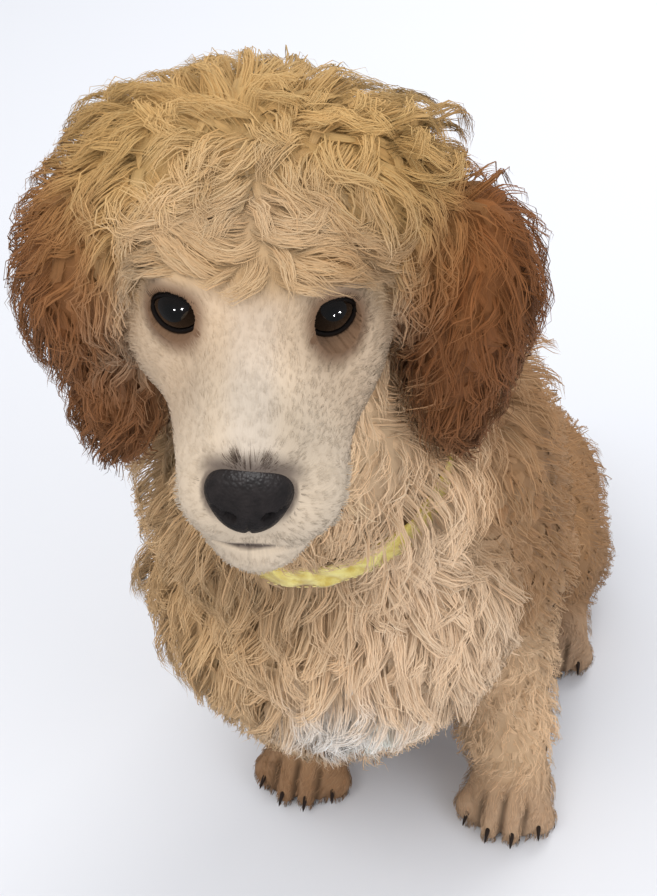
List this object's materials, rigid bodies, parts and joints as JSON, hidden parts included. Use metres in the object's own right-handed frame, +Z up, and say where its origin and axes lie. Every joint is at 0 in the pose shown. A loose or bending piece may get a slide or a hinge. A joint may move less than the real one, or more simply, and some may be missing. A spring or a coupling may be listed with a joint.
{
  "type": "standard poodle puppy",
  "caption": "Life-size sitting standard poodle puppy with a curly apricot coat, brown ears, shaved face and a plain band collar, as a still display model.",
  "frame": {"origin": "on the floor, under the middle of the sitting dog's bounding box", "axes": "+Z up, -Y the way the dog's body faces, +X to the dog's own left"},
  "size_m": [0.2375, 0.5306, 0.4402],
  "materials": {
    "face_coat": "short cream face hair, with a golden curly topknot",
    "ear_coat": "long wavy red brown hair",
    "body_coat": "dense soft apricot curls",
    "paw_coat": "short apricot hair",
    "nose_leather": "moist pebbled black skin",
    "eye_surface": "wet and very dark brown",
    "claw_horn": "dark horn",
    "collar_band": "pale yellow satin weave"
  },
  "bodies": {
    "root": {"head": "face_coat", "ear_left": "ear_coat", "ear_right": "ear_coat", "neck": "body_coat", "torso": "body_coat", "tail": "body_coat", "foreleg_left": "body_coat", "foreleg_right": "body_coat", "hindleg_left": "body_coat", "hindleg_right": "body_coat", "forepaw_left": "paw_coat", "forepaw_right": "paw_coat", "hindpaw_left": "paw_coat", "hindpaw_right": "paw_coat", "nose": "nose_leather", "eye_left": "eye_surface", "eye_right": "eye_surface", "collar": "collar_band", "claw_fore_left_1": "claw_horn", "claw_fore_left_2": "claw_horn", "claw_fore_left_3": "claw_horn", "claw_fore_left_4": "claw_horn", "claw_fore_right_1": "claw_horn", "claw_fore_right_2": "claw_horn", "claw_fore_right_3": "claw_horn", "claw_fore_right_4": "claw_horn", "claw_hind_left_1": "claw_horn", "claw_hind_left_2": "claw_horn", "claw_hind_left_3": "claw_horn", "claw_hind_left_4": "claw_horn", "claw_hind_right_1": "claw_horn", "claw_hind_right_2": "claw_horn", "claw_hind_right_3": "claw_horn", "claw_hind_right_4": "claw_horn"}
  },
  "joints": []
}
